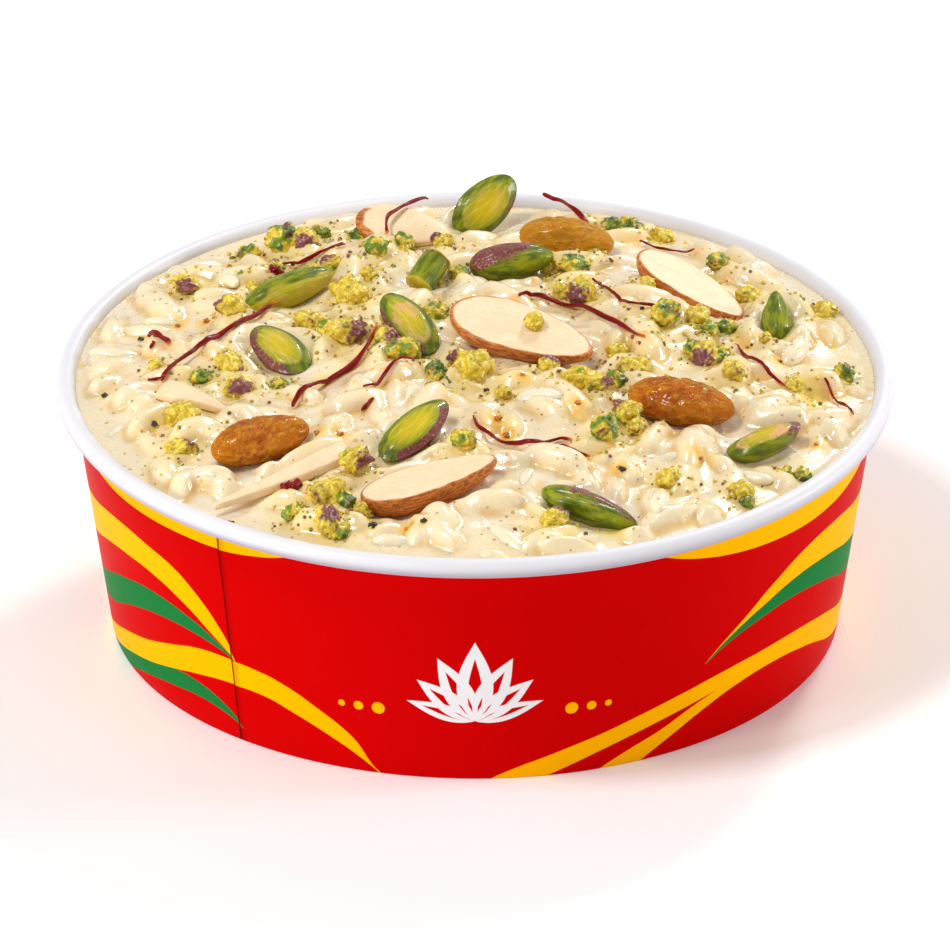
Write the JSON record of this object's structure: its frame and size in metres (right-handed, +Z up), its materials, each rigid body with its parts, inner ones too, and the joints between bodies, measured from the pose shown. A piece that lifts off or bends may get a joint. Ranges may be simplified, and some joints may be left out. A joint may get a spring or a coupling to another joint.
{
  "type": "kheer rice pudding",
  "caption": "Cooled rice pudding heaped in a round paper bowl and strewn with almond, pistachio, golden raisins and saffron.",
  "frame": {"origin": "centre of the bowl's foot, on the table", "axes": "+Z up out of the bowl, -Y towards the side that faces the picture's camera, +X to the right as seen from there"},
  "size_m": [0.1498, 0.1498, 0.0574],
  "materials": {
    "printed_paper": "glossy coated paper, printed red with yellow and green sweeps; the rim and inside are white",
    "white_paper": "uncoated white paperboard",
    "rice_pudding": "moist creamy milk pudding with soft rice grains",
    "almond_flesh": "cream cut almond with a brown ribbed skin",
    "pistachio_green": "green pistachio kernel with a purple-brown skin",
    "golden_raisin": "translucent wrinkled amber skin"
  },
  "bodies": {
    "root": {"bowl_wall": "printed_paper", "bowl_base": "white_paper", "pudding": "rice_pudding", "almond_half_centre": "almond_flesh", "almond_half_right": "almond_flesh", "almond_half_front": "almond_flesh", "almond_slice_back": "almond_flesh", "almond_sliver_front": "almond_flesh", "almond_sliver_left": "almond_flesh", "pistachio_half_back": "pistachio_green", "pistachio_whole_back": "pistachio_green", "pistachio_chunk": "pistachio_green", "pistachio_half_middle": "pistachio_green", "pistachio_piece_left": "pistachio_green", "pistachio_half_left": "pistachio_green", "pistachio_half_front": "pistachio_green", "pistachio_piece_right": "pistachio_green", "pistachio_half_right": "pistachio_green", "pistachio_piece_front": "pistachio_green", "raisin_left": "golden_raisin", "raisin_right": "golden_raisin", "raisin_back": "golden_raisin"}
  },
  "joints": []
}
